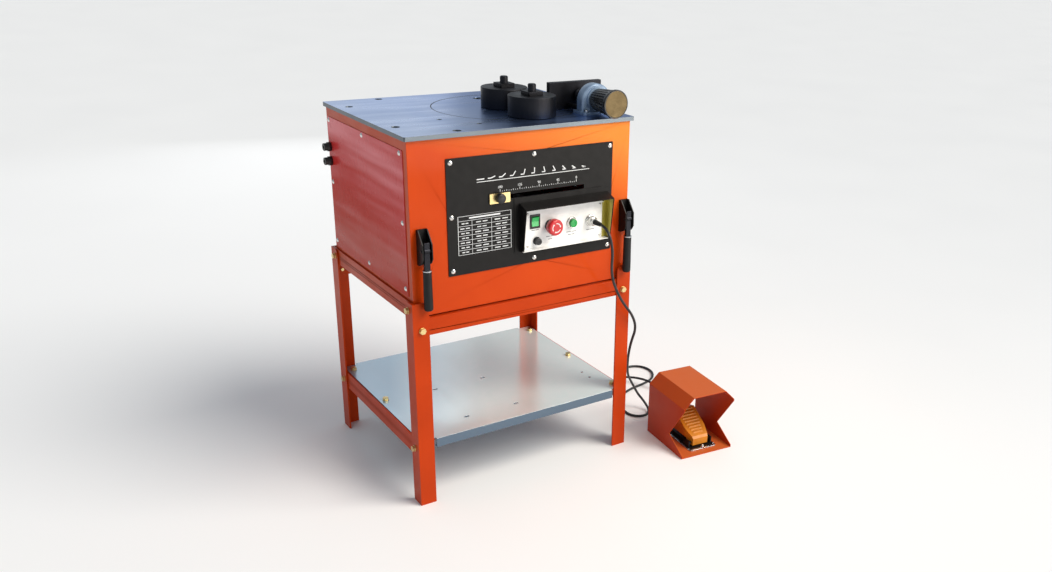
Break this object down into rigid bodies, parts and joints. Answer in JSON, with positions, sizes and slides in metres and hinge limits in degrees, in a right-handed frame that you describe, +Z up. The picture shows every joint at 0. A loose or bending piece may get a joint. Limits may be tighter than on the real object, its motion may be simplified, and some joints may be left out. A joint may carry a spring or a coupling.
{
  "type": "rebar bender",
  "caption": "Floor-standing hydraulic bar bender: orange cabinet on an angle-iron stand, steel table with a turntable, rollers and an adjustable fence, and a corded foot pedal in a guard.",
  "frame": {"origin": "on the floor, under the middle of the bounding box of machine and pedal without the cord; the middle of the stand lies 122 mm to its left and 72.75 mm behind it", "axes": "+X to the right along the front, +Y to the back, +Z up"},
  "size_m": [0.9616, 0.7074, 0.976],
  "materials": {
    "orange": "gloss",
    "black_sheet": "satin",
    "table_steel": "satin",
    "dark_steel": "satin",
    "bright_steel": "satin",
    "zinc_gold": "satin",
    "galvanised": "satin",
    "nickel": "polished",
    "cast_blue": "painted",
    "black_plastic": "matte",
    "black_rubber": "matte",
    "white_panel": "satin",
    "green_plastic": "gloss",
    "red_plastic": "gloss",
    "yellow_plastic": "satin",
    "tank_grey": "satin",
    "motor_alu": "cast"
  },
  "bodies": {
    "machine": {"leg_front_left": "orange", "leg_front_right": "orange", "leg_back_left": "orange", "leg_back_right": "orange", "stand_rails": "orange", "shelf_rails": "orange", "shelf": "galvanised", "stand_bolts": "zinc_gold", "cabinet_shell": "orange", "left_cover": "orange", "right_cover": "orange", "back_cover": "orange", "cover_screws": "nickel", "cable_glands": "black_plastic", "table_plate": "table_steel", "gear_housing": "cast_blue", "spindle_bearings": "bright_steel", "cylinder_barrel": "dark_steel", "motor": "motor_alu", "oil_tank": "tank_grey", "valve_block": "bright_steel", "hydraulic_hoses": "black_rubber", "fence_bracket": "cast_blue", "fence_bolts": "bright_steel", "face_plate": "black_sheet", "face_screws": "nickel", "control_hood": "black_sheet", "control_panel": "white_panel", "panel_bezels": "black_plastic", "handle_brackets": "black_sheet", "pedal_guard": "orange", "pedal_base": "black_sheet", "foot_cord": "black_rubber", "cord_plug": "nickel"},
    "turntable": {"turntable_disc": "table_steel", "spindle": "bright_steel", "pinion": "bright_steel", "roller_pins": "dark_steel", "roller_washers": "dark_steel"},
    "rack_unit": {"rack": "bright_steel", "piston_rod": "nickel"},
    "mandrel_spinner": {"mandrel_roller": "dark_steel"},
    "bender_spinner": {"bending_roller": "dark_steel"},
    "fence": {"fence_block": "dark_steel", "fence_screw": "bright_steel"},
    "knob": {"fence_knob": "black_plastic"},
    "angle_slider": {"slider_plate": "zinc_gold", "limit_switch": "black_plastic"},
    "slider_clamp": {"slider_knob": "black_plastic"},
    "stop_plunger": {"estop_stem": "black_plastic"},
    "stop_head": {"estop_head": "red_plastic"},
    "start_push_button": {"start_button": "green_plastic"},
    "rocker": {"rocker_key": "green_plastic"},
    "fuse": {"fuse_cap": "black_plastic"},
    "treadle": {"pedal_treadle": "yellow_plastic"},
    "front_left_handle": {"handle_front_left": "black_rubber"},
    "front_right_handle": {"handle_front_right": "black_rubber"},
    "back_left_handle": {"handle_back_left": "black_rubber"},
    "back_right_handle": {"handle_back_right": "black_rubber"},
    "motor_rotor": {"motor_shaft": "bright_steel"}
  },
  "joints": [
    {"name": "turntable_turn", "type": "hinge", "parent": "machine", "child": "turntable", "pos_m": [-0.045, 0.07875, 0.89], "axis": [0, 0, -1], "range_deg": [0, 180]},
    {"name": "rack_travel", "type": "slide", "parent": "machine", "child": "rack_unit", "axis": [-1, 0, 0], "range_m": [0, 0.20736]},
    {"name": "mandrel_spin", "type": "hinge", "parent": "turntable", "child": "mandrel_spinner", "pos_m": [-0.045, 0.07875, 0.925], "axis": [0, 0, 1], "continuous": true},
    {"name": "bending_spin", "type": "hinge", "parent": "turntable", "child": "bender_spinner", "pos_m": [-0.045, -0.05825, 0.925], "axis": [0, 0, 1], "continuous": true},
    {"name": "fence_knob_turn", "type": "hinge", "parent": "machine", "child": "knob", "pos_m": [0.115, -0.14375, 0.935], "axis": [0, 1, 0], "range_deg": [-180, 1620]},
    {"name": "fence_slide", "type": "slide", "parent": "machine", "child": "fence", "axis": [0, 1, 0], "range_m": [-0.00201, 0.01801]},
    {"name": "angle_slide", "type": "slide", "parent": "machine", "child": "angle_slider", "axis": [1, 0, 0], "range_m": [0, 0.207]},
    {"name": "slider_knob_turn", "type": "hinge", "parent": "angle_slider", "child": "slider_clamp", "pos_m": [-0.196, -0.17725, 0.7415], "axis": [0, 1, 0], "range_deg": [-360, 0]},
    {"name": "estop_push", "type": "slide", "parent": "machine", "child": "stop_plunger", "axis": [0, 1, 0], "range_m": [0, 0.006]},
    {"name": "estop_twist", "type": "hinge", "parent": "stop_plunger", "child": "stop_head", "pos_m": [-0.058, -0.18925, 0.6565], "axis": [0, 1, 0], "range_deg": [0, 45]},
    {"name": "start_push", "type": "slide", "parent": "machine", "child": "start_push_button", "axis": [0, 1, 0], "range_m": [0, 0.004], "stiffness_N_per_m": 400, "springref_m": -0.001},
    {"name": "rocker_tilt", "type": "hinge", "parent": "machine", "child": "rocker", "pos_m": [-0.1005, -0.16125, 0.672], "axis": [1, 0, 0], "range_deg": [-12, 0]},
    {"name": "fuse_turn", "type": "hinge", "parent": "machine", "child": "fuse", "pos_m": [-0.096, -0.16725, 0.623], "axis": [0, 1, 0], "range_deg": [0, 90]},
    {"name": "treadle_press", "type": "hinge", "parent": "machine", "child": "treadle", "pos_m": [0.34465, -0.29776, 0.016], "axis": [-0.9941, 0.1089, 0], "range_deg": [0, 6], "stiffness_Nm_per_rad": 4, "springref_deg": -17.19},
    {"name": "front_left_handle_fold", "type": "hinge", "parent": "machine", "child": "front_left_handle", "pos_m": [-0.389, -0.18725, 0.648], "axis": [-1, 0, 0], "range_deg": [0, 90]},
    {"name": "front_right_handle_fold", "type": "hinge", "parent": "machine", "child": "front_right_handle", "pos_m": [0.158, -0.18725, 0.648], "axis": [-1, 0, 0], "range_deg": [0, 90]},
    {"name": "back_left_handle_fold", "type": "hinge", "parent": "machine", "child": "back_left_handle", "pos_m": [-0.389, 0.34325, 0.665], "axis": [1, 0, 0], "range_deg": [0, 90]},
    {"name": "back_right_handle_fold", "type": "hinge", "parent": "machine", "child": "back_right_handle", "pos_m": [0.158, 0.34325, 0.665], "axis": [1, 0, 0], "range_deg": [0, 90]},
    {"name": "motor_spin", "type": "hinge", "parent": "machine", "child": "motor_rotor", "pos_m": [-0.062, 0.13275, 0.575], "axis": [1, 0, 0], "continuous": true}
  ],
  "couplings": [
    {"joint": "rack_travel", "follows": "turntable_turn", "m_per_rad": 0.066},
    {"joint": "fence_slide", "follows": "fence_knob_turn", "m_per_rad": 0.00063662}
  ]
}
